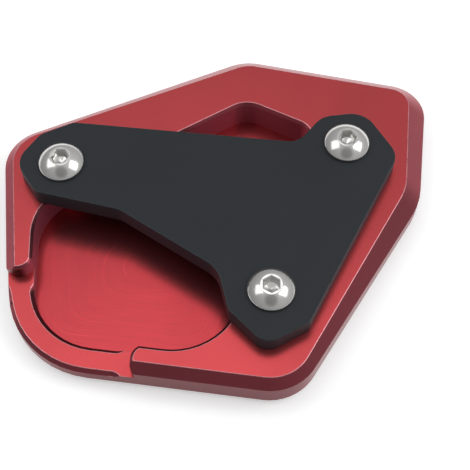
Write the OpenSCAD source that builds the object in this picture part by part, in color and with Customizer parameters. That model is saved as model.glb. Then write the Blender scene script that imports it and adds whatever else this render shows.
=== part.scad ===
// Kickstand foot enlarger: a bevelled base plate with a pocket that takes the foot of
// a motorcycle side stand, a clamp plate that holds the foot in it, and three button
// head screws. All sizes are in millimetres. The origin is under the middle of the
// base plate, on the ground, with +Z up and the pocket's open mouth towards -X -Y.

/* [Base plate] */
// Length of the base plate along X
base_length = 91.8; // [88:0.2:110]
// Width of the base plate along Y
base_width = 81; // [78:0.5:96]
// Thickness of the base plate
base_t = 9; // [8.4:0.1:14]
// Bevel round the top edge at the front and left corners
bevel_front = 2; // [1:0.1:2.8]
// Bevel round the top edge at the back corners
bevel_back = 4; // [2:0.1:5]
// Bevel round the lower edge
bevel_under = 2; // [0.5:0.1:2.6]

/* [Stand pocket] */
// Depth of the pocket below the top face
pocket_depth = 6.8; // [5:0.1:7]
// Chamfer along the upper edge of the pocket
pocket_edge = 0.6; // [0.2:0.1:1]
// Width of the rim round the stepped corner
rim_w = 5.1; // [4:0.1:6]

/* [Stepped corner] */
// Depth of the step below the top face
step_depth = 3.8; // [2.5:0.1:4.2]
// Chamfer along both edges of the step
step_edge = 0.8; // [0.2:0.1:1]
// Rounding of the rim ends
rim_end_r = 2.9; // [1:0.1:3]
// Rounding of the front rim end on the outer side
front_end_outer_r = 1.8; // [0.8:0.1:3]

/* [Clamp plate] */
// Thickness of the clamp plate
clamp_t = 4.4; // [3:0.1:6]

/* [Screws] */
// Thread diameter
screw_d = 5; // [4:0.1:6]
// Length of the screws under the head
screw_l = 10; // [7:0.5:10.5]
// Diameter of the button heads
head_d = 9.5; // [8.5:0.1:11]
// Height of the button heads
head_h = 2.5; // [2.3:0.05:3.3]
// Width across the flats of the hexagon socket
hex_af = 3; // [2.5:0.1:4]
// Depth of the hexagon socket
hex_depth = 1.9; // [1:0.1:2.2]

/* [Fits] */
// Extra diameter of the screw holes in the clamp plate
clamp_hole_clear = 0.5; // [0.2:0.1:1]
// Extra diameter of the tapped holes over the thread
thread_clear = 0.1; // [0.06:0.02:0.2]
// Least wall between a tapped hole and the pocket
hole_wall = 1.8; // [1:0.1:2.4]

/* [Hidden] */

half_l = base_length / 2;
half_w = base_width / 2;
nominal_length = 91.8;
nominal_width = 81;
stretch_x = base_length / nominal_length;
stretch_y = base_width / nominal_width;
eps = 0.01;

step_z = base_t - step_depth;
floor_z = base_t - pocket_depth;
clamp_top_z = base_t + clamp_t;
hole_clearance_below = 1;
hole_depth = screw_l - clamp_t + hole_clearance_below;
thread_tip = 0.6;
head_rim_h = 0.35;
head_flat_d = 4.4;
socket_mouth = 0.2;

// Corners of the base plate, counterclockwise: x, y, radius of the side, bevel above it
front_left_r = 19.4;
bevel_right = (bevel_front + 3 * bevel_back) / 4;
front_left = [-23.1 * stretch_x, -16.6 * stretch_y, front_left_r, bevel_front];
base_corners = [
    front_left,
    [10.2 * stretch_x, 10.4 - half_w, 10.4, bevel_front],
    [27.2 * stretch_x, 7.8 * stretch_y, 16.2, bevel_right],
    [half_l - 8.3, 25.7 * stretch_y, 8.3, bevel_back],
    [6.8 * stretch_x, half_w - 10.5, 10.5, bevel_back],
    [9.3 - half_l, 10.9 * stretch_y, 9.3, bevel_front]
];

// Corners of the stand pocket: x, y, radius of its wall
pocket_left = [front_left.x, front_left.y + 0.25, front_left_r - rim_w];
pocket_corners = [
    pocket_left,
    [-8.7 * stretch_x, -19.15 * stretch_y, 13.4],
    [15.9 * stretch_x, 17.2 * stretch_y, 3.9],
    [6.2 * stretch_x, 19.8 * stretch_y, 5.9],
    [-25.7 * stretch_x, -6.4 * stretch_y, 12.2]
];

// Rim ends beside the step, from the front left corner: middle of the end, turn, and
// the rounding on its left and right, seen from above before the turn
rim_end_w = rim_w + 0.9;
left_rim_end = [[-17.2, 1.4], 5, rim_end_r, rim_end_r];
front_rim_end = [[6.45, -17.8], -92, rim_end_r, front_end_outer_r];
rim_ends = [left_rim_end, front_rim_end];

// Ends of the step's chamfers: angle round the corner, length on along the side, radius
// of the pointed cutter at the top of the chamfer that it leaves
outer_edge_ends = [[187, 1.8, 10], [263, 4.8, 2.8]];
inner_edge_ends = [[186, 0.8, 2.8], [263, 4.8, 2.8]];

// Corners of the clamp plate, counterclockwise: x, y, radius (a hollow corner is found
// by its turn)
clamp_corners = [
    [-37.5, 0.3, 3],
    [-19.9, -4.1, 6],
    [0, -17.5, 6],
    [2.2, -26.5, 3],
    [9.3, -33.8, 3.8],
    [17.9, -28.9, 1.5],
    [37.7, 9.3, 4.8],
    [31.2, 20.4, 5.5],
    [22.1, 19.2, 5],
    [16.7, 12.6, 4],
    [-30.9, 17.7, 3],
    [-37.7, 14.6, 3],
    [-42.4, 7.8, 5]
];

left_screw = [-32.6 * stretch_x, 7.3 * stretch_y];
right_screw = [27 * stretch_x, 12.1 * stretch_y];
front_screw = [10.5 * stretch_x, -22.15 * stretch_y];
screw_places = [left_screw, right_screw, front_screw];

// Turn of the hexagon socket of each screw
left_turn = 0;
right_turn = 5;
front_turn = 30;

// Point and arc helpers for outlines with rounded corners
arc_steps = 10;

function unit(v) = v / norm(v);

function flat(p) = [p.x * stretch_x, p.y * stretch_y];

function turn(a, b) = a.x * b.y - a.y * b.x;

// Points of the arc that rounds corner i of a closed list of [x, y, radius]
function corner_arc(list, i) =
    let (
        n = len(list),
        here = flat(list[i]),
        to_last = unit(flat(list[(i + n - 1) % n]) - here),
        to_next = unit(flat(list[(i + 1) % n]) - here),
        half = acos(to_last * to_next) / 2,
        radius = list[i][2],
        centre = here + unit(to_last + to_next) * radius / sin(half),
        side = turn(to_next, to_last) > 0 ? 1 : -1,
        middle = unit(here - centre),
        sweep = 90 - half
    )
    [for (k = [0:arc_steps])
        let (a = side * sweep * (2 * k / arc_steps - 1))
        centre + radius * [
            middle.x * cos(a) - middle.y * sin(a),
            middle.x * sin(a) + middle.y * cos(a)
        ]
    ];

function rounded_outline(list) = [for (i = [0:len(list) - 1]) each corner_arc(list, i)];

// A solid of the base plate's outline: the corner rounds stand between two heights and
// are drawn in by the given amounts at the lower and the upper end
module base_outline_solid(from_z, to_z, in_low, in_high) {
    hull() {
        for (c = base_corners) {
            translate([c.x, c.y, from_z]) {
                cylinder(h = to_z - from_z, r1 = c[2] - in_low, r2 = c[2] - in_high, $fn = 48);
            }
        }
    }
}

// The plate before milling. Each corner's bevel is as deep as it is wide, so every
// bevelled face lies at 45 degrees and the bevel tapers from the back to the front.
module plate_blank() {
    hull() {
        for (c = base_corners) {
            translate([c.x, c.y, 0]) {
                cylinder(h = bevel_under, r1 = c[2] - bevel_under, r2 = c[2], $fn = 48);
                translate([0, 0, bevel_under]) {
                    cylinder(h = base_t - bevel_under - c[3], r = c[2], $fn = 48);
                }
                translate([0, 0, base_t - c[3]]) {
                    cylinder(h = c[3], r1 = c[2], r2 = c[2] - c[3], $fn = 48);
                }
            }
        }
    }
}

// A solid of the pocket's outline between two heights, let out by the given amount at its
// upper end
module pocket_outline_solid(from_z, to_z, out_high) {
    hull() {
        for (c = pocket_corners) {
            translate([c.x, c.y, from_z]) {
                cylinder(h = to_z - from_z, r1 = c[2], r2 = c[2] + out_high, $fn = 48);
            }
        }
    }
}

// A 45 degree chamfer along the pocket, below the given height
module pocket_chamfer(edge_z, edge) {
    pocket_outline_solid(edge_z - edge, edge_z + eps, edge + eps);
}

// Rim end: a bar with a rounded end, chamfered along its upper edge
module rim_end(place, rim_turn, left_r, right_r) {
    reach = 12;
    edge_z = base_t - pocket_edge;
    translate([front_left.x + place.x, front_left.y + place.y, 0]) {
        rotate(rim_turn) {
            hull() {
                for (side = [-1, 1]) {
                    r = min(side < 0 ? left_r : right_r, rim_end_w / 2);
                    for (along = [r, reach]) {
                        translate([side * (rim_end_w / 2 - r), along, 0]) {
                            cylinder(h = edge_z, r = r, $fn = 48);
                            translate([0, 0, edge_z]) {
                                cylinder(
                                    h = pocket_edge + eps,
                                    r1 = r,
                                    r2 = r - pocket_edge - eps,
                                    $fn = 48
                                );
                            }
                        }
                    }
                }
            }
        }
    }
}

// Milled away over the step: the front left corner between the two rim ends
module step_space() {
    reach = 30;
    difference() {
        translate([front_left.x - reach, front_left.y - reach, step_z]) {
            cube([
                reach + front_rim_end[0].x + rim_end_r,
                reach + left_rim_end[0].y + rim_end_r,
                step_depth + 1
            ]);
        }
        for (end = rim_ends) {
            rim_end(end[0], end[1], end[2], end[3]);
        }
    }
}

// Point beside the front left corner, at a distance from its centre, in the direction
// and the length on along the side that edge_end gives
function beside_corner(centre, edge_end, distance) =
    let (out = [cos(edge_end[0]), sin(edge_end[0])])
    [centre.x, centre.y] + distance * out + edge_end[1] * [-out.y, out.x];

// Ground, seen from above, in which a chamfer of the step runs at its full width
module step_edge_plan(centre, edge_ends) {
    reach = 30;
    middle = [(edge_ends[0][0] + edge_ends[1][0]) / 2, 0];
    polygon([
        beside_corner(centre, edge_ends[0], 0),
        beside_corner(centre, edge_ends[0], reach),
        beside_corner(centre, middle, 2 * reach),
        beside_corner(centre, edge_ends[1], reach),
        beside_corner(centre, edge_ends[1], 0)
    ]);
}

// Pointed cutter where a chamfer of the step ends. Its upper circle touches the chamfer's
// upper edge at the given distance from the corner, from outside (+1) or inside (-1).
module step_edge_cutters(centre, edge_ends, distance, side) {
    for (edge_end = edge_ends) {
        cutter_r = edge_end[2];
        place = beside_corner(centre, edge_end, distance + side * cutter_r);
        translate([place.x, place.y, step_z - step_edge]) {
            cylinder(
                h = step_edge + eps,
                r1 = cutter_r - step_edge,
                r2 = cutter_r + eps,
                $fn = 96
            );
        }
    }
}

// Milled off along the outer edge of the step
module step_outer_chamfer() {
    difference() {
        translate([0, 0, step_z - step_edge]) {
            linear_extrude(height = step_edge + eps) {
                step_edge_plan(front_left, outer_edge_ends);
            }
        }
        base_outline_solid(step_z - step_edge, step_z + 2 * eps, 0, step_edge + 2 * eps);
    }
    step_edge_cutters(front_left, outer_edge_ends, front_left_r - step_edge, 1);
}

// Milled off along the pocket side of the step
module step_inner_chamfer() {
    intersection() {
        pocket_chamfer(step_z, step_edge);
        translate([0, 0, floor_z - 1]) {
            linear_extrude(height = pocket_depth) {
                step_edge_plan(pocket_left, inner_edge_ends);
            }
        }
    }
    step_edge_cutters(pocket_left, inner_edge_ends, pocket_left[2] + step_edge, -1);
}

// The stand pocket, which keeps off the tapped holes
module pocket() {
    difference() {
        union() {
            pocket_outline_solid(floor_z, base_t + 1, 0);
            pocket_chamfer(base_t, pocket_edge);
        }
        for (p = screw_places) {
            translate([p.x, p.y, 0]) {
                cylinder(h = base_t + 1, d = screw_d + thread_clear + 2 * hole_wall, $fn = 64);
            }
        }
    }
}

// Tapped hole for each screw, open at the top face
module tapped_holes() {
    for (p = screw_places) {
        translate([p.x, p.y, base_t - hole_depth]) {
            cylinder(h = hole_depth + 1, d = screw_d + thread_clear, $fn = 48);
        }
    }
}

module base_plate() {
    color("firebrick") {
        difference() {
            plate_blank();
            pocket();
            step_space();
            step_outer_chamfer();
            step_inner_chamfer();
            tapped_holes();
        }
    }
}

module clamp_plate() {
    color("dimgray") {
        translate([0, 0, base_t]) {
            difference() {
                linear_extrude(height = clamp_t) {
                    polygon(rounded_outline(clamp_corners));
                }
                for (p = screw_places) {
                    translate([p.x, p.y, -1]) {
                        cylinder(h = clamp_t + 2, d = screw_d + clamp_hole_clear, $fn = 48);
                    }
                }
            }
        }
    }
}

// Domed head: a sphere through the rim's upper edge and the edge of the flat top
module button_head() {
    rim_r = head_d / 2;
    flat_r = head_flat_d / 2;
    drop = (rim_r ^ 2 - flat_r ^ 2 - (head_h - head_rim_h) ^ 2) / (2 * (head_h - head_rim_h));
    centre_z = head_rim_h - drop;
    intersection() {
        cylinder(h = head_h, d = head_d, $fn = 64);
        translate([0, 0, centre_z]) {
            sphere(r = norm([rim_r, drop]), $fn = 96);
        }
    }
}

// Hexagon socket with a chamfered mouth, cut from the top of the head
module hex_socket() {
    corner_d = hex_af / cos(30);
    translate([0, 0, head_h - hex_depth]) {
        cylinder(h = hex_depth + 1, d = corner_d, $fn = 6);
    }
    translate([0, 0, head_h - socket_mouth]) {
        cylinder(h = socket_mouth + eps, d1 = hex_af, d2 = hex_af + 2 * socket_mouth, $fn = 48);
    }
}

// Button head screw, with its head's underside at z = 0
module button_screw(hex_turn) {
    color("silver") {
        difference() {
            button_head();
            rotate(hex_turn) {
                hex_socket();
            }
        }
        translate([0, 0, thread_tip - screw_l]) {
            cylinder(h = screw_l - thread_tip, d = screw_d, $fn = 48);
        }
        translate([0, 0, -screw_l]) {
            cylinder(h = thread_tip, d1 = screw_d - 2 * thread_tip, d2 = screw_d, $fn = 48);
        }
    }
}

module screw_at(place, hex_turn) {
    translate([place.x, place.y, clamp_top_z]) {
        button_screw(hex_turn);
    }
}

base_plate();
clamp_plate();
screw_at(left_screw, left_turn);  // screw_left
screw_at(right_screw, right_turn);  // screw_right
screw_at(front_screw, front_turn);  // screw_front
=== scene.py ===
"""A kickstand foot enlarger on a pale studio floor.

The file is laid out as an add-on: property groups hold the sizes and colours, one operator
makes each piece, and main() runs them in order around the model's frame.
"""

import math

import bmesh
import bpy
import numpy as np
from bpy.props import FloatProperty, FloatVectorProperty, PointerProperty
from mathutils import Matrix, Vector


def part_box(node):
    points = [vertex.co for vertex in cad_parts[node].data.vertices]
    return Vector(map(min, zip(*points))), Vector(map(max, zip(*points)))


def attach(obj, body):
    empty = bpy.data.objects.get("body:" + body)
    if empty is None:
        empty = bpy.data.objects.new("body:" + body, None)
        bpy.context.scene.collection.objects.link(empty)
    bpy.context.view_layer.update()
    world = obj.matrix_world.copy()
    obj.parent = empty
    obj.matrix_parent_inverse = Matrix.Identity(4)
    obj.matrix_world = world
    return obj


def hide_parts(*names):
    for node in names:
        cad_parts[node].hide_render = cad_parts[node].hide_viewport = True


bl_info = {
    "name": "Kickstand foot enlarger",
    "version": (1, 0, 0),
    "blender": (4, 5, 0),
    "location": "View3D > Sidebar > Foot",
    "description": "Dresses the foot plate, its clamp plate and screws, and sets the studio",
    "category": "Object",
}

MM = 0.001

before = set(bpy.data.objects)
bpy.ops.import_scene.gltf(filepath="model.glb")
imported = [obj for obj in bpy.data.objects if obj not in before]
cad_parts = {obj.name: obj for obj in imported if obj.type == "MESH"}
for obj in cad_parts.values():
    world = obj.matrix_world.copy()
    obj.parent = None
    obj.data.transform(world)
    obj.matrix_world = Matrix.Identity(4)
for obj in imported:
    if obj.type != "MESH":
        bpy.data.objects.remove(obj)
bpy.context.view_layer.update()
BASE_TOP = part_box("base_plate")[1].z
CLAMP_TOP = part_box("clamp_plate")[1].z

# Corners of the stand pocket, counterclockwise, in millimetres: x, y, radius of the wall
POCKET_CORNERS = (
    (-23.1, -16.35, 14.3),
    (-8.7, -19.15, 13.4),
    (15.9, 17.2, 3.9),
    (6.2, 19.8, 5.9),
    (-25.7, -6.4, 12.2),
)
# A place inside the pocket that every wall faces or turns its back on
POCKET_MIDDLE = Vector((-8 * MM, -2 * MM, 0))
# How far the hexagon of each screw is turned, in degrees
SCREW_TURNS = {"screw_left": 0, "screw_right": 5, "screw_front": 30}
# Size of the grain that blasting leaves on both plates
BLASTED_GRAIN = 0.3 * MM


def mm_size(name, description, default):
    """A length property, shown in the scene's unit, with its default in millimetres."""
    return FloatProperty(
        name=name, description=description, default=default * MM, unit="LENGTH", precision=5
    )


def colour(name, description, default):
    """A linear colour property."""
    return FloatVectorProperty(
        name=name, description=description, default=default, subtype="COLOR", min=0, max=1
    )


class FootPlateSizes(bpy.types.PropertyGroup):
    base_edge: mm_size("Base edge", "Broken edge of the base plate", 0.10)
    clamp_edge: mm_size("Clamp edge", "Broken edge of the clamp plate", 0.2)
    pocket_depth: mm_size("Pocket depth", "Depth of the stand pocket", 6.8)
    milling_pitch: mm_size("Milling pitch", "Distance between the cutter's passes", 3.4)
    cutter_turn: mm_size("Cutter turn", "Rounding of the passes at the pocket's corners", 7)


class ButtonScrewSizes(bpy.types.PropertyGroup):
    rim_height: mm_size("Rim height", "Straight rim under the dome", 0.65)
    rim_edge: mm_size("Rim edge", "Rounding of the rim's edges", 0.12)
    flat_width: mm_size("Flat width", "Diameter of the flat round the socket", 4.4)
    hex_width: mm_size("Hexagon", "Width across the flats of the socket", 3.0)
    hex_depth: mm_size("Hexagon depth", "Depth of the socket", 1.9)
    mouth: mm_size("Mouth", "Chamfer round the socket's mouth", 0.2)
    point: mm_size("Point", "Chamfer at the end of the shank", 0.6)
    shank_width: mm_size("Shank", "Diameter of the shank", 5.0)
    shank_length: mm_size("Shank length", "Length of the shank under the head", 10.0)
    thread_pitch: mm_size("Thread pitch", "Distance between the thread's turns", 0.8)
    thread_depth: mm_size("Thread depth", "Depth of the thread", 0.45)
    thread_end: mm_size("Thread end", "Plain shank under the head", 1.2)


class FinishColours(bpy.types.PropertyGroup):
    red: colour("Red", "Red anodised aluminium, blasted top faces", (0.50, 0.045, 0.052))
    floor_red: colour("Floor red", "Red anodised aluminium, pocket floor", (0.36, 0.026, 0.034))
    # Painted light: a paler, lighter red that stands for light bounced round the pocket onto its
    # walls
    inner_red_painted_light: colour("Inner red", "Red anodised aluminium, pocket walls", (0.46, 0.105, 0.155))
    # Painted shade: a darker red that stands for the dark reflections the bevels and chamfers show
    bevel_red_painted_shade: colour("Bevel red", "Red anodised aluminium, milled bevels", (0.23, 0.024, 0.038))
    # Painted shade: a darker red that stands for the dark reflections the outer walls show
    wall_red_painted_shade: colour("Wall red", "Red anodised aluminium, outer walls", (0.07, 0.008, 0.011))
    # Painted highlight: a pale red on the broken edges' faces that stands for the light they catch
    edge_red_painted_highlight: colour("Edge red", "Thin dye along the base plate's edges", (0.76, 0.32, 0.35))
    black: colour("Black", "Black anodised aluminium", (0.020, 0.024, 0.029))
    # Painted highlight: a paler grey on the clamp plate's broken edges that stands for the light
    # they catch
    edge_black_painted_highlight: colour("Edge black", "Thin dye along the clamp plate's edges", (0.05, 0.055, 0.06))
    steel: colour("Steel", "Turned stainless steel", (0.72, 0.71, 0.69))


class StudioSettings(bpy.types.PropertyGroup):
    elevation: FloatProperty(
        name="Elevation", description="Camera above the horizon", default=math.radians(60.47),
        subtype="ANGLE",
    )
    distance: mm_size("Distance", "Camera from the point it looks at", 204.6)
    lens: FloatProperty(name="Lens", description="Focal length", default=76.6, unit="CAMERA")
    floor: colour("Floor", "Pale floor", (0.90, 0.90, 0.90))
    glow: FloatProperty(name="Glow", description="Light that whitens the floor", default=0.42)
    left_power: FloatProperty(
        name="Left lamp", description="Power of the left lamp", default=0.38, unit="POWER"
    )
    right_power: FloatProperty(
        name="Right lamp", description="Power of the right lamp", default=0.72, unit="POWER"
    )


# Materials


class NodeKit:
    """A node tree, with short calls that add nodes and return their results. What goes into
    a node is a number, a vector, a plain colour or another node's result."""

    def __init__(self, tree):
        self.nodes = tree.nodes
        self.links = tree.links

    def add(self, kind, **values):
        """Adds a node; each value sets an input where the name is one, or an attribute."""
        node = self.nodes.new("ShaderNode" + kind)
        for key, value in values.items():
            if key in node.inputs:
                node.inputs[key].default_value = value
            else:
                setattr(node, key, value)
        return node

    def feed(self, socket, value):
        """Links a result to a socket, or sets the socket to a plain value."""
        if isinstance(value, bpy.types.NodeSocket):
            self.links.new(value, socket)
        elif socket.type == "RGBA":
            socket.default_value = (*value, 1)
        else:
            socket.default_value = value

    def finish(self, shader, values):
        """Feeds a shader's inputs by name."""
        for name, value in values.items():
            self.feed(shader.inputs[name], value)

    def math(self, operation, *values):
        """The result of a Math node."""
        node = self.add("Math", operation=operation)
        for socket, value in zip(node.inputs, values):
            self.feed(socket, value)
        return node.outputs[0]

    def vector_math(self, operation, first, second, result="Vector"):
        """A result of a Vector Math node on two vectors."""
        node = self.add("VectorMath", operation=operation)
        self.feed(node.inputs[0], first)
        self.feed(node.inputs[1], second)
        return node.outputs[result]

    def total(self, start, *parts):
        """Start plus each part's value times its weight."""
        for value, weight in parts:
            start = self.math("MULTIPLY_ADD", value, weight, start)
        return start

    def split(self, vector):
        """The X, Y and Z of a vector."""
        node = self.add("SeparateXYZ")
        self.feed(node.inputs[0], vector)
        return tuple(node.outputs)

    def join(self, *values):
        """A vector from its X, Y and Z."""
        node = self.add("CombineXYZ")
        for socket, value in zip(node.inputs, values):
            self.feed(socket, value)
        return node.outputs[0]

    def noise(self, vector, size, detail):
        """Noise from 0 to 1 whose features are about size across."""
        node = self.add("TexNoise", Scale=1 / size, Detail=detail)
        self.feed(node.inputs["Vector"], vector)
        return node.outputs["Fac"]

    def mix(self, factor, low, high):
        """A mix of two colours, low where the factor is 0 and high where it is 1."""
        node = self.add("Mix", data_type="RGBA")
        self.feed(node.inputs[0], factor)
        colours_in = [socket for socket in node.inputs if socket.type == "RGBA"]
        for socket, value in zip(colours_in, (low, high)):
            self.feed(socket, value)
        return next(socket for socket in node.outputs if socket.type == "RGBA")

    def span(self, value, low, high, to_low=0.0, to_high=1.0):
        """A value carried from one range to another, held at its ends."""
        node = self.add("MapRange")
        for socket, number in zip(node.inputs, (value, low, high, to_low, to_high)):
            self.feed(socket, number)
        return node.outputs[0]

    def nearness(self, direction, centre, low, high):
        """How near a direction is to a centre: 0 where their dot product is low, 1 where
        it is high."""
        centre = Vector(centre).normalized()
        return self.span(self.vector_math("DOT_PRODUCT", direction, centre, "Value"), low, high)

    def bump(self, height, strength, depth):
        """A normal that follows a height; depth is the height of 1."""
        node = self.add("Bump", Strength=strength, Distance=depth)
        self.feed(node.inputs["Height"], height)
        return node.outputs[0]


def new_material(name):
    material = bpy.data.materials.new(name)
    material.use_nodes = True
    return material, NodeKit(material.node_tree), material.node_tree.nodes["Principled BSDF"]


def pocket_walls():
    """The pocket's straight walls, each as the X and Y of its outward normal and its
    distance from the origin. The wall from one corner's arc to the next is their common
    tangent: its normal leans along the way between the centres by the arc sine of the
    difference of the radii over the distance."""
    corners = np.array(POCKET_CORNERS) * MM
    after = np.roll(corners, -1, axis=0)
    way = after[:, :2] - corners[:, :2]
    length = np.linalg.norm(way, axis=1)
    way /= length[:, None]
    lean = (corners[:, 2] - after[:, 2]) / length
    outward = np.stack([way[:, 1], -way[:, 0]], -1)
    normal = lean[:, None] * way + np.sqrt(1 - lean**2)[:, None] * outward
    reach = (normal * corners[:, :2]).sum(1) + corners[:, 2]
    return np.column_stack([normal, reach]).tolist()


def inside_pocket(kit, x, y, turn):
    """Distance in from the pocket's wall: the smooth least distance from its straight walls."""
    distances = [
        kit.total(reach, (x, -normal_x), (y, -normal_y))
        for normal_x, normal_y, reach in pocket_walls()
    ]
    least = distances[0]
    for distance in distances[1:]:
        least = kit.math("SMOOTH_MIN", least, distance, turn)
    return least


def milling(kit, place, sizes):
    """Marks of the cutter on the pocket floor, which went round in ever smaller passes: a
    faint line where two passes meet, in patches, and fine scratches along the passes. Both
    go from 0 to 1."""
    x, y, _ = kit.split(place)
    inward = inside_pocket(kit, x, y, sizes.cutter_turn)
    across = kit.math("FRACT", kit.math("DIVIDE", inward, sizes.milling_pitch))
    from_middle = kit.math("ABSOLUTE", kit.math("SUBTRACT", across, 0.5))
    line = kit.span(from_middle, 0.46, 0.5)
    patches = kit.span(kit.noise(place, 11 * MM, detail=1), 0.42, 0.68)
    width_to_length = 0.02
    along_x = kit.math("MULTIPLY", x, width_to_length)
    along_y = kit.math("MULTIPLY", y, width_to_length)
    scratches = kit.noise(kit.join(inward, along_x, along_y), 0.22 * MM, detail=3)
    return kit.math("MULTIPLY", line, patches), scratches


def red_anodised(colours, sizes):
    """Red dyed aluminium: a fine blasted grain on the top faces, the cutter's passes on the
    pocket floor, painted shade on the bevels and outer walls, whose darker colours stand for
    the dark reflections they show, and duller, less metallic walls in the pocket, whose
    paler, lighter colour is painted light bounced round the pocket."""
    material, kit, shader = new_material("red_anodised")
    place = kit.add("TexCoord").outputs["Object"]
    normal = kit.add("NewGeometry").outputs["Normal"]
    _, _, up = kit.split(normal)
    _, _, z = kit.split(place)

    # Masks from 0 to 1: level faces, the pocket's floor, slopes, the pocket's upright walls.
    # A wall is the pocket's where it faces the pocket's middle, and the change from inner to
    # outer wall is spread over the round ends of the rim.
    level = kit.span(up, 0.9, 0.99)
    floor_z = BASE_TOP - sizes.pocket_depth
    floor = kit.span(z, floor_z + 0.1 * MM, floor_z + 0.4 * MM, 1.0, 0.0)
    floor = kit.math("MULTIPLY", floor, level)
    slope = kit.span(up, 0.1, 0.6)
    out_x, out_y, _ = kit.split(kit.vector_math("SUBTRACT", place, POCKET_MIDDLE))
    facing_out = kit.vector_math("DOT_PRODUCT", normal, kit.join(out_x, out_y, 0.0), "Value")
    inner = kit.span(facing_out, -8 * MM, 8 * MM, 1.0, 0.0)
    inner = kit.math("MULTIPLY", inner, kit.math("SUBTRACT", 1.0, slope))

    grain = kit.noise(place, BLASTED_GRAIN, detail=3)
    cloud = kit.noise(place, 20 * MM, detail=3)
    line, scratches = milling(kit, place, sizes)
    line = kit.math("MULTIPLY", line, floor)
    scratches = kit.math("MULTIPLY", scratches, floor)

    # Painted shade: slopes and outer walls take darker reds that stand for the dark reflections
    # they show
    sides = kit.mix(slope, colours.wall_red_painted_shade, colours.bevel_red_painted_shade)
    # Painted light: the pocket's walls take the paler, lighter red that stands for light bounced
    # round the pocket
    sides = kit.mix(inner, sides, colours.inner_red_painted_light)
    flats = kit.mix(floor, colours.red, colours.floor_red)
    tone = kit.total(0.68, (grain, 0.30), (cloud, 0.35), (scratches, 0.36), (line, 0.45))
    height = kit.total(grain, (scratches, 0.8), (line, 1.5))
    kit.finish(shader, {
        "Base Color": kit.vector_math("MULTIPLY", kit.mix(level, sides, flats), tone),
        "Roughness": kit.total(0.2, (inner, 0.25), (level, 0.06), (floor, -0.04), (grain, 0.06)),
        "Metallic": kit.total(0.88, (inner, -0.45)),
        "Specular Tint": (1, 0.6, 0.62),
        "Coat Weight": 0.6,
        "Coat Roughness": 0.45,
        "Coat IOR": 1.5,
        "Normal": kit.bump(height, strength=0.12, depth=0.02 * MM),
    })
    return material


def painted_edge_highlight(name, shade):
    """A painted highlight along a broken edge: a paler colour, in patches, and a little rougher
    than the faces.
    """
    material, kit, shader = new_material(name)
    place = kit.add("TexCoord").outputs["Object"]
    highlight_patches = kit.span(kit.noise(place, 1.6 * MM, detail=3), 0.3, 0.7)
    pale = Vector(shade)
    kit.finish(shader, {
        "Base Color": kit.mix(highlight_patches, pale * 0.75, pale),
        "Roughness": kit.total(0.25, (highlight_patches, 0.1)),
        "Metallic": 0.9,
    })
    return material


def black_anodised(colours):
    """Matt black dyed aluminium with a fine grain."""
    material, kit, shader = new_material("black_anodised")
    place = kit.add("TexCoord").outputs["Object"]
    grain = kit.noise(place, BLASTED_GRAIN, detail=3)
    cloud = kit.noise(place, 16 * MM, detail=2)
    black = Vector(colours.black)
    tone = kit.total(0.0, (grain, 0.4), (cloud, 0.6))
    kit.finish(shader, {
        "Base Color": kit.mix(tone, black * 0.8, black * 1.2),
        "Roughness": kit.total(0.5, (grain, 0.12)),
        "Specular IOR Level": 0.3,
        "Normal": kit.bump(grain, strength=0.15, depth=0.02 * MM),
    })
    return material


def turned_steel(colours):
    """Bright stainless steel with fine turned rings that follow the screw's own UV map."""
    material, kit, shader = new_material("turned_steel")
    stretch = kit.add("Mapping", vector_type="POINT", Scale=(0.6, 60, 1))
    kit.feed(stretch.inputs["Vector"], kit.add("UVMap").outputs["UV"])
    rings = kit.noise(stretch.outputs[0], 1.0, detail=4)
    steel = Vector(colours.steel)
    kit.finish(shader, {
        "Base Color": kit.mix(rings, steel * 0.9, steel * 1.05),
        "Roughness": kit.total(0.1, (rings, 0.14)),
        "Metallic": 1.0,
        "Normal": kit.bump(rings, strength=0.2, depth=0.01 * MM),
    })
    return material


# Meshes


def finish_piece(piece, materials, node):
    """Gives a piece its materials, puts it under the root body and hides the CAD node that it
    stands for.
    """
    piece.data.materials.clear()
    for material in materials:
        piece.data.materials.append(material)
    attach(piece, "root")
    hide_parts(node)


def new_object(name, data):
    """The object of a mesh, a lamp or a camera, in the scene."""
    obj = bpy.data.objects.new(name, data)
    bpy.context.scene.collection.objects.link(obj)
    return obj


def eased_copy(node, name, edge):
    """The milled solid with its edges broken: a merged copy of the CAD node's triangles,
    coplanar ones joined. The outer edges of its level faces get a two step round of the
    given width, whose faces take the piece's second material; its other edges stay sharp."""
    same_point = 0.002 * MM
    same_plane = math.radians(0.3)
    least_angle = math.radians(25)
    level_normal = 0.99
    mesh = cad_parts[node].data.copy()
    mesh.name = name
    mesh.shade_smooth()
    solid = bmesh.new()
    solid.from_mesh(mesh)
    bmesh.ops.remove_doubles(solid, verts=solid.verts, dist=same_point)
    bmesh.ops.dissolve_limit(solid, angle_limit=same_plane, verts=solid.verts, edges=solid.edges)
    broken = solid.edges.layers.float.new("bevel_weight_edge")
    for line in solid.edges:
        if line.calc_face_angle() > least_angle:
            level = max(abs(face.normal.z) for face in line.link_faces) > level_normal
            line.smooth = level and line.is_convex
            line[broken] = float(line.smooth)
    solid.to_mesh(mesh)
    solid.free()
    piece = new_object(name, mesh)
    bevel = piece.modifiers.new("edges", "BEVEL")
    bevel.width = edge
    bevel.segments = 2
    bevel.limit_method = "WEIGHT"
    bevel.use_clamp_overlap = False
    bevel.miter_outer = "MITER_ARC"
    bevel.material = 1
    weighted = piece.modifiers.new("flats", "WEIGHTED_NORMAL")
    weighted.keep_sharp = True
    return piece


def with_middles(grid):
    """A grid's points row by row, then the middles of its first and of its last row."""
    return np.concatenate([grid.reshape(-1, grid.shape[-1]), [grid[0].mean(0), grid[-1].mean(0)]])


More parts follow.
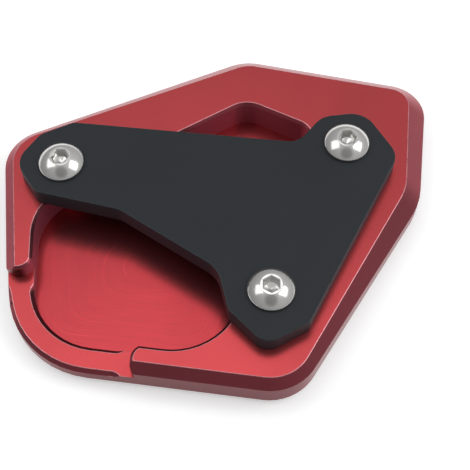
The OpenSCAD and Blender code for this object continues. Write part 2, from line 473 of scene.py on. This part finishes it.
def grid_mesh(name, rings, uv):
    """A closed tube from rings of points: rings is (rows, columns, 3), each row a loop, and
    a fan closes the first and the last row; uv is (rows, columns, 2)."""
    rows, columns = rings.shape[:2]
    index = np.arange(rows * columns).reshape(rows, columns)
    after = np.roll(index, -1, axis=1)
    quads = np.stack([index[:-1], after[:-1], after[1:], index[1:]], -1).reshape(-1, 4)
    first_middle = np.full(columns, rows * columns)
    first = np.stack([after[0], index[0], first_middle], -1)
    last = np.stack([index[-1], after[-1], first_middle + 1], -1)
    mesh = bpy.data.meshes.new(name)
    faces = quads.tolist() + first.tolist() + last.tolist()
    mesh.from_pydata(with_middles(rings).tolist(), [], faces)
    corners = np.zeros(len(mesh.loops), dtype=np.int32)
    mesh.loops.foreach_get("vertex_index", corners)
    layer = mesh.uv_layers.new(name="turned")
    layer.data.foreach_set("uv", with_middles(uv)[corners].astype(np.float32).ravel())
    mesh.validate()
    return mesh


def spread(column, columns):
    """A column of values, repeated all the way round."""
    return np.broadcast_to(np.asarray(column)[:, None], (len(column), columns))


def threaded_shank(sizes, angle):
    """Radius and height of the shank's rows, from its end up to the head. The radius is the
    crest's less the thread's depth times a triangle wave of the height over the pitch less
    the angle over a turn, cut flat at its crests and roots. The thread runs out under the
    head, and the cone at the end of the shank caps the radius."""
    rows_per_turn = 8
    cut_flat = 0.1
    turns = (sizes.shank_length - sizes.thread_end) / sizes.thread_pitch
    rows = int(turns * rows_per_turn)
    height = spread(np.linspace(-sizes.shank_length, -sizes.thread_end, rows), len(angle))
    phase = np.mod(height / sizes.thread_pitch - angle / (2 * math.pi), 1)
    wave = np.abs(2 * phase - 1)
    groove = np.clip((1 + 2 * cut_flat) * wave - cut_flat, 0, 1)
    run_out = np.clip((-height - sizes.thread_end) / sizes.thread_pitch, 0, 1)
    radius = sizes.shank_width / 2 - sizes.thread_depth * groove * run_out
    cone = sizes.shank_width / 2 - sizes.point + height + sizes.shank_length
    return np.minimum(radius, cone), height


def button_head(sizes, head_high, head_r, columns):
    """Radius and height of the rows from the head's underside to the socket's mouth: a
    rounded lower edge, a straight rim, and a dome, which is the arc through the rim's upper
    edge and the edge of the flat top, with its centre on the axis."""
    flat_r = sizes.flat_width / 2
    rise = head_high - sizes.rim_height
    drop = (head_r**2 - flat_r**2 - rise**2) / (2 * rise)
    dome_r = math.hypot(head_r, drop)
    upper_edge = sizes.rim_edge / 3
    flat_edge = sizes.rim_edge / 2
    lower_edge_rows, dome_rows = 4, 16
    round_angle = np.linspace(0, math.pi / 2, lower_edge_rows)
    dome = np.linspace(head_r - upper_edge, flat_r, dome_rows)
    radius = np.concatenate([
        [sizes.shank_width / 2],
        head_r - sizes.rim_edge * (1 - np.sin(round_angle)),
        [head_r],
        dome,
        [flat_r - flat_edge],
    ])
    height = np.concatenate([
        [0],
        sizes.rim_edge * (1 - np.cos(round_angle)),
        [sizes.rim_height - upper_edge],
        sizes.rim_height - drop + np.sqrt(dome_r**2 - dome**2),
        [head_high],
    ])
    return spread(radius, columns), spread(height, columns)


def hexagon_socket(sizes, head_high, from_corner):
    """Radius and height of the rows down the socket. The hexagon's radius is half the width
    across its flats over the cosine of the angle from the nearest flat; the chamfer round
    its mouth adds to that half width. The floor ends in a shallow drill point."""
    sector = math.radians(60)
    from_flat = np.mod(from_corner, sector) - sector / 2
    half = sizes.hex_width / 2
    foot = 0.05 * MM
    drill_r = 0.84 * half
    drill_edge = 0.01 * MM
    drill_depth = 0.35 * drill_r
    across = half + np.array([sizes.mouth, 0, 0, -foot])
    hexagon = across[:, None] / np.cos(from_flat)
    drill = spread([drill_r, 0.96 * drill_r, 0.1 * drill_r], len(from_corner))
    floor_z = head_high - sizes.hex_depth
    height = [
        head_high, head_high - sizes.mouth, floor_z + foot, floor_z,
        floor_z, floor_z - drill_edge, floor_z - drill_depth,
    ]
    return np.concatenate([hexagon, drill]), spread(height, len(from_corner))


def button_screw(name, sizes, place, hex_turn):
    """Button head screw as one closed grid: up the shank, over the head and down into the
    socket, each row a loop round the axis that starts at a corner of the hexagon. Its UV
    map runs from that corner to the one opposite and back, and along the profile."""
    columns = 96
    uv_height = 10 * MM
    sharp_from = math.radians(28)
    place_x, place_y, seat_z = place
    low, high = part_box(name)
    head_high = high.z - seat_z
    angle = hex_turn + np.arange(columns) * 2 * math.pi / columns
    parts = (
        threaded_shank(sizes, angle),
        button_head(sizes, head_high, (high.x - low.x) / 2, columns),
        hexagon_socket(sizes, head_high, angle - hex_turn),
    )
    radius = np.concatenate([part[0] for part in parts])
    height = np.concatenate([part[1] for part in parts])
    around = np.broadcast_to(angle, radius.shape)
    rings = np.stack(
        [place_x + radius * np.cos(around), place_y + radius * np.sin(around), seat_z + height], -1
    )
    steps = np.hypot(
        np.diff(radius, axis=0, prepend=radius[:1]), np.diff(height, axis=0, prepend=height[:1])
    )
    folded = np.abs((around - hex_turn) / math.pi - 1)
    uv = np.stack([folded, np.cumsum(steps, axis=0) / uv_height], -1)
    mesh = grid_mesh(name + "_turned", rings, uv)
    mesh.shade_smooth()
    mesh.set_sharp_from_angle(angle=sharp_from)
    return new_object(name + "_turned", mesh)


# Operators


class FOOT_OT_base_plate(bpy.types.Operator):
    """Add the red base plate with its broken edges and its finish"""

    bl_idname = "foot.base_plate"
    bl_label = "Base plate"

    def execute(self, context):
        sizes, colours = context.scene.foot_plate, context.scene.foot_colours
        piece = eased_copy("base_plate", "base_plate_milled", sizes.base_edge)
        finishes = (red_anodised(colours, sizes), painted_edge_highlight("red_edge_highlight", colours.edge_red_painted_highlight))
        finish_piece(piece, finishes, "base_plate")
        return {"FINISHED"}


class FOOT_OT_clamp_plate(bpy.types.Operator):
    """Add the black clamp plate with its broken edges and its finish"""

    bl_idname = "foot.clamp_plate"
    bl_label = "Clamp plate"

    def execute(self, context):
        sizes, colours = context.scene.foot_plate, context.scene.foot_colours
        piece = eased_copy("clamp_plate", "clamp_plate_milled", sizes.clamp_edge)
        finishes = (black_anodised(colours), painted_edge_highlight("black_edge_highlight", colours.edge_black_painted_highlight))
        finish_piece(piece, finishes, "clamp_plate")
        return {"FINISHED"}


class FOOT_OT_button_screws(bpy.types.Operator):
    """Add the three button head screws, each turned as it was left"""

    bl_idname = "foot.button_screws"
    bl_label = "Button head screws"

    def execute(self, context):
        steel = turned_steel(context.scene.foot_colours)
        for node, turn in SCREW_TURNS.items():
            low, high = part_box(node)
            place = ((low.x + high.x) / 2, (low.y + high.y) / 2, CLAMP_TOP)
            piece = button_screw(node, context.scene.foot_screws, place, math.radians(turn))
            finish_piece(piece, (steel,), node)
        return {"FINISHED"}


class FOOT_OT_studio(bpy.types.Operator):
    """Set the pale floor, the lamps, the surroundings and the camera"""

    bl_idname = "foot.studio"
    bl_label = "Studio"

    def execute(self, context):
        studio = context.scene.foot_studio
        make_floor(studio)
        make_world(context.scene)
        make_lamps(studio)
        make_camera(context.scene, studio)
        context.scene.view_settings.view_transform = "Standard"
        return {"FINISHED"}


def make_floor(studio):
    """A flat floor, white to the camera and in the metal's reflections round the object and
    dimmer far off, that keeps the object's shadow."""
    half = 3.0
    fade_from, fade_to = 0.16, 0.45
    mesh = bpy.data.meshes.new("floor")
    corners = [(-half, -half, 0), (half, -half, 0), (half, half, 0), (-half, half, 0)]
    mesh.from_pydata(corners, [], [(0, 1, 2, 3)])
    material = bpy.data.materials.new("pale_floor")
    material.use_nodes = True
    kit = NodeKit(material.node_tree)
    kit.nodes.clear()
    paths = kit.add("LightPath").outputs
    seen = kit.math("MAXIMUM", paths["Is Camera Ray"], paths["Is Glossy Ray"])
    seen = kit.math("MAXIMUM", seen, paths["Is Transmission Ray"])
    place = kit.add("TexCoord").outputs["Object"]
    from_middle = kit.vector_math("DISTANCE", place, (0, 0, 0), "Value")
    level = kit.span(from_middle, fade_from, fade_to, studio.glow, 0.0)
    glow = kit.add("Emission")
    kit.feed(glow.inputs["Strength"], kit.math("MULTIPLY", seen, level))
    both = kit.add("AddShader")
    kit.feed(both.inputs[0], kit.add("BsdfDiffuse", Color=(*studio.floor, 1)).outputs[0])
    kit.feed(both.inputs[1], glow.outputs[0])
    kit.feed(kit.add("OutputMaterial").inputs["Surface"], both.outputs[0])
    mesh.materials.append(material)
    new_object("floor", mesh)


def make_world(scene):
    """Studio surroundings by direction: brighter overhead and to the right, with a soft
    bright ceiling panel a little behind the zenith and a darker patch round the camera."""
    world = bpy.data.worlds.new("studio")
    scene.world = world
    world.use_nodes = True
    kit = NodeKit(world.node_tree)
    kit.nodes.clear()
    direction = kit.add("TexCoord").outputs["Generated"]
    right, behind, high = kit.split(direction)
    panel = kit.nearness(direction, (-0.075, 0.32, 0.94), 0.968, 0.997)
    patch = kit.nearness(direction, (0, -0.6, 0.8), 0.87, 0.96)
    level = kit.total(0.46, (high, 0.30), (right, 0.12), (behind, 0.05), (panel, 2.2))
    level = kit.math("MULTIPLY", level, kit.total(1.0, (patch, -0.5)))
    ground = kit.add("Background")
    kit.feed(ground.inputs["Strength"], level)
    kit.feed(kit.add("OutputWorld").inputs["Surface"], ground.outputs[0])


def aim(obj, place, target):
    """Puts an object at a place and turns its -Z axis to a target."""
    obj.location = place
    obj.rotation_euler = (Vector(target) - Vector(place)).to_track_quat("-Z", "Y").to_euler()


def make_lamps(studio):
    """Two soft square lamps, left and right above the object."""
    side = 0.32
    lamps = (
        ("left_lamp", (-0.36, 0.06, 0.42), studio.left_power),
        ("right_lamp", (0.40, 0.00, 0.42), studio.right_power),
    )
    for name, place, power in lamps:
        lamp = bpy.data.lights.new(name, "AREA")
        lamp.size = side
        lamp.energy = power
        aim(new_object(name, lamp), place, (0, 0, 0))


def make_camera(scene, studio):
    """The photograph's camera: it looks down at the top face, a little right of its middle
    and in front of it."""
    camera = new_object("camera", bpy.data.cameras.new("camera"))
    camera.data.lens = studio.lens
    camera.data.sensor_width = 36
    camera.data.clip_start = 0.01
    target = Vector((3.5 * MM, -7.5 * MM, BASE_TOP))
    back = Vector((0, -math.cos(studio.elevation), math.sin(studio.elevation)))
    aim(camera, target + back * studio.distance, target)
    scene.camera = camera


class FOOT_PT_panel(bpy.types.Panel):
    """Lists the steps that build the foot enlarger"""

    bl_label = "Foot enlarger"
    bl_idname = "FOOT_PT_panel"
    bl_space_type = "VIEW_3D"
    bl_region_type = "UI"
    bl_category = "Foot"

    def draw(self, context):
        for operator in OPERATORS:
            self.layout.operator(operator.bl_idname)


GROUPS = {
    "foot_plate": FootPlateSizes,
    "foot_screws": ButtonScrewSizes,
    "foot_colours": FinishColours,
    "foot_studio": StudioSettings,
}
OPERATORS = (FOOT_OT_base_plate, FOOT_OT_clamp_plate, FOOT_OT_button_screws, FOOT_OT_studio)


def register():
    for name, group in GROUPS.items():
        bpy.utils.register_class(group)
        setattr(bpy.types.Scene, name, PointerProperty(type=group))
    for cls in (*OPERATORS, FOOT_PT_panel):
        bpy.utils.register_class(cls)


def unregister():
    for cls in (FOOT_PT_panel, *reversed(OPERATORS)):
        bpy.utils.unregister_class(cls)
    for name, group in reversed(GROUPS.items()):
        delattr(bpy.types.Scene, name)
        bpy.utils.unregister_class(group)


def main():
    register()
    bpy.ops.foot.base_plate()
    bpy.ops.foot.clamp_plate()
    bpy.ops.foot.button_screws()
    bpy.ops.foot.studio()


if __name__ == "__main__":
    main()
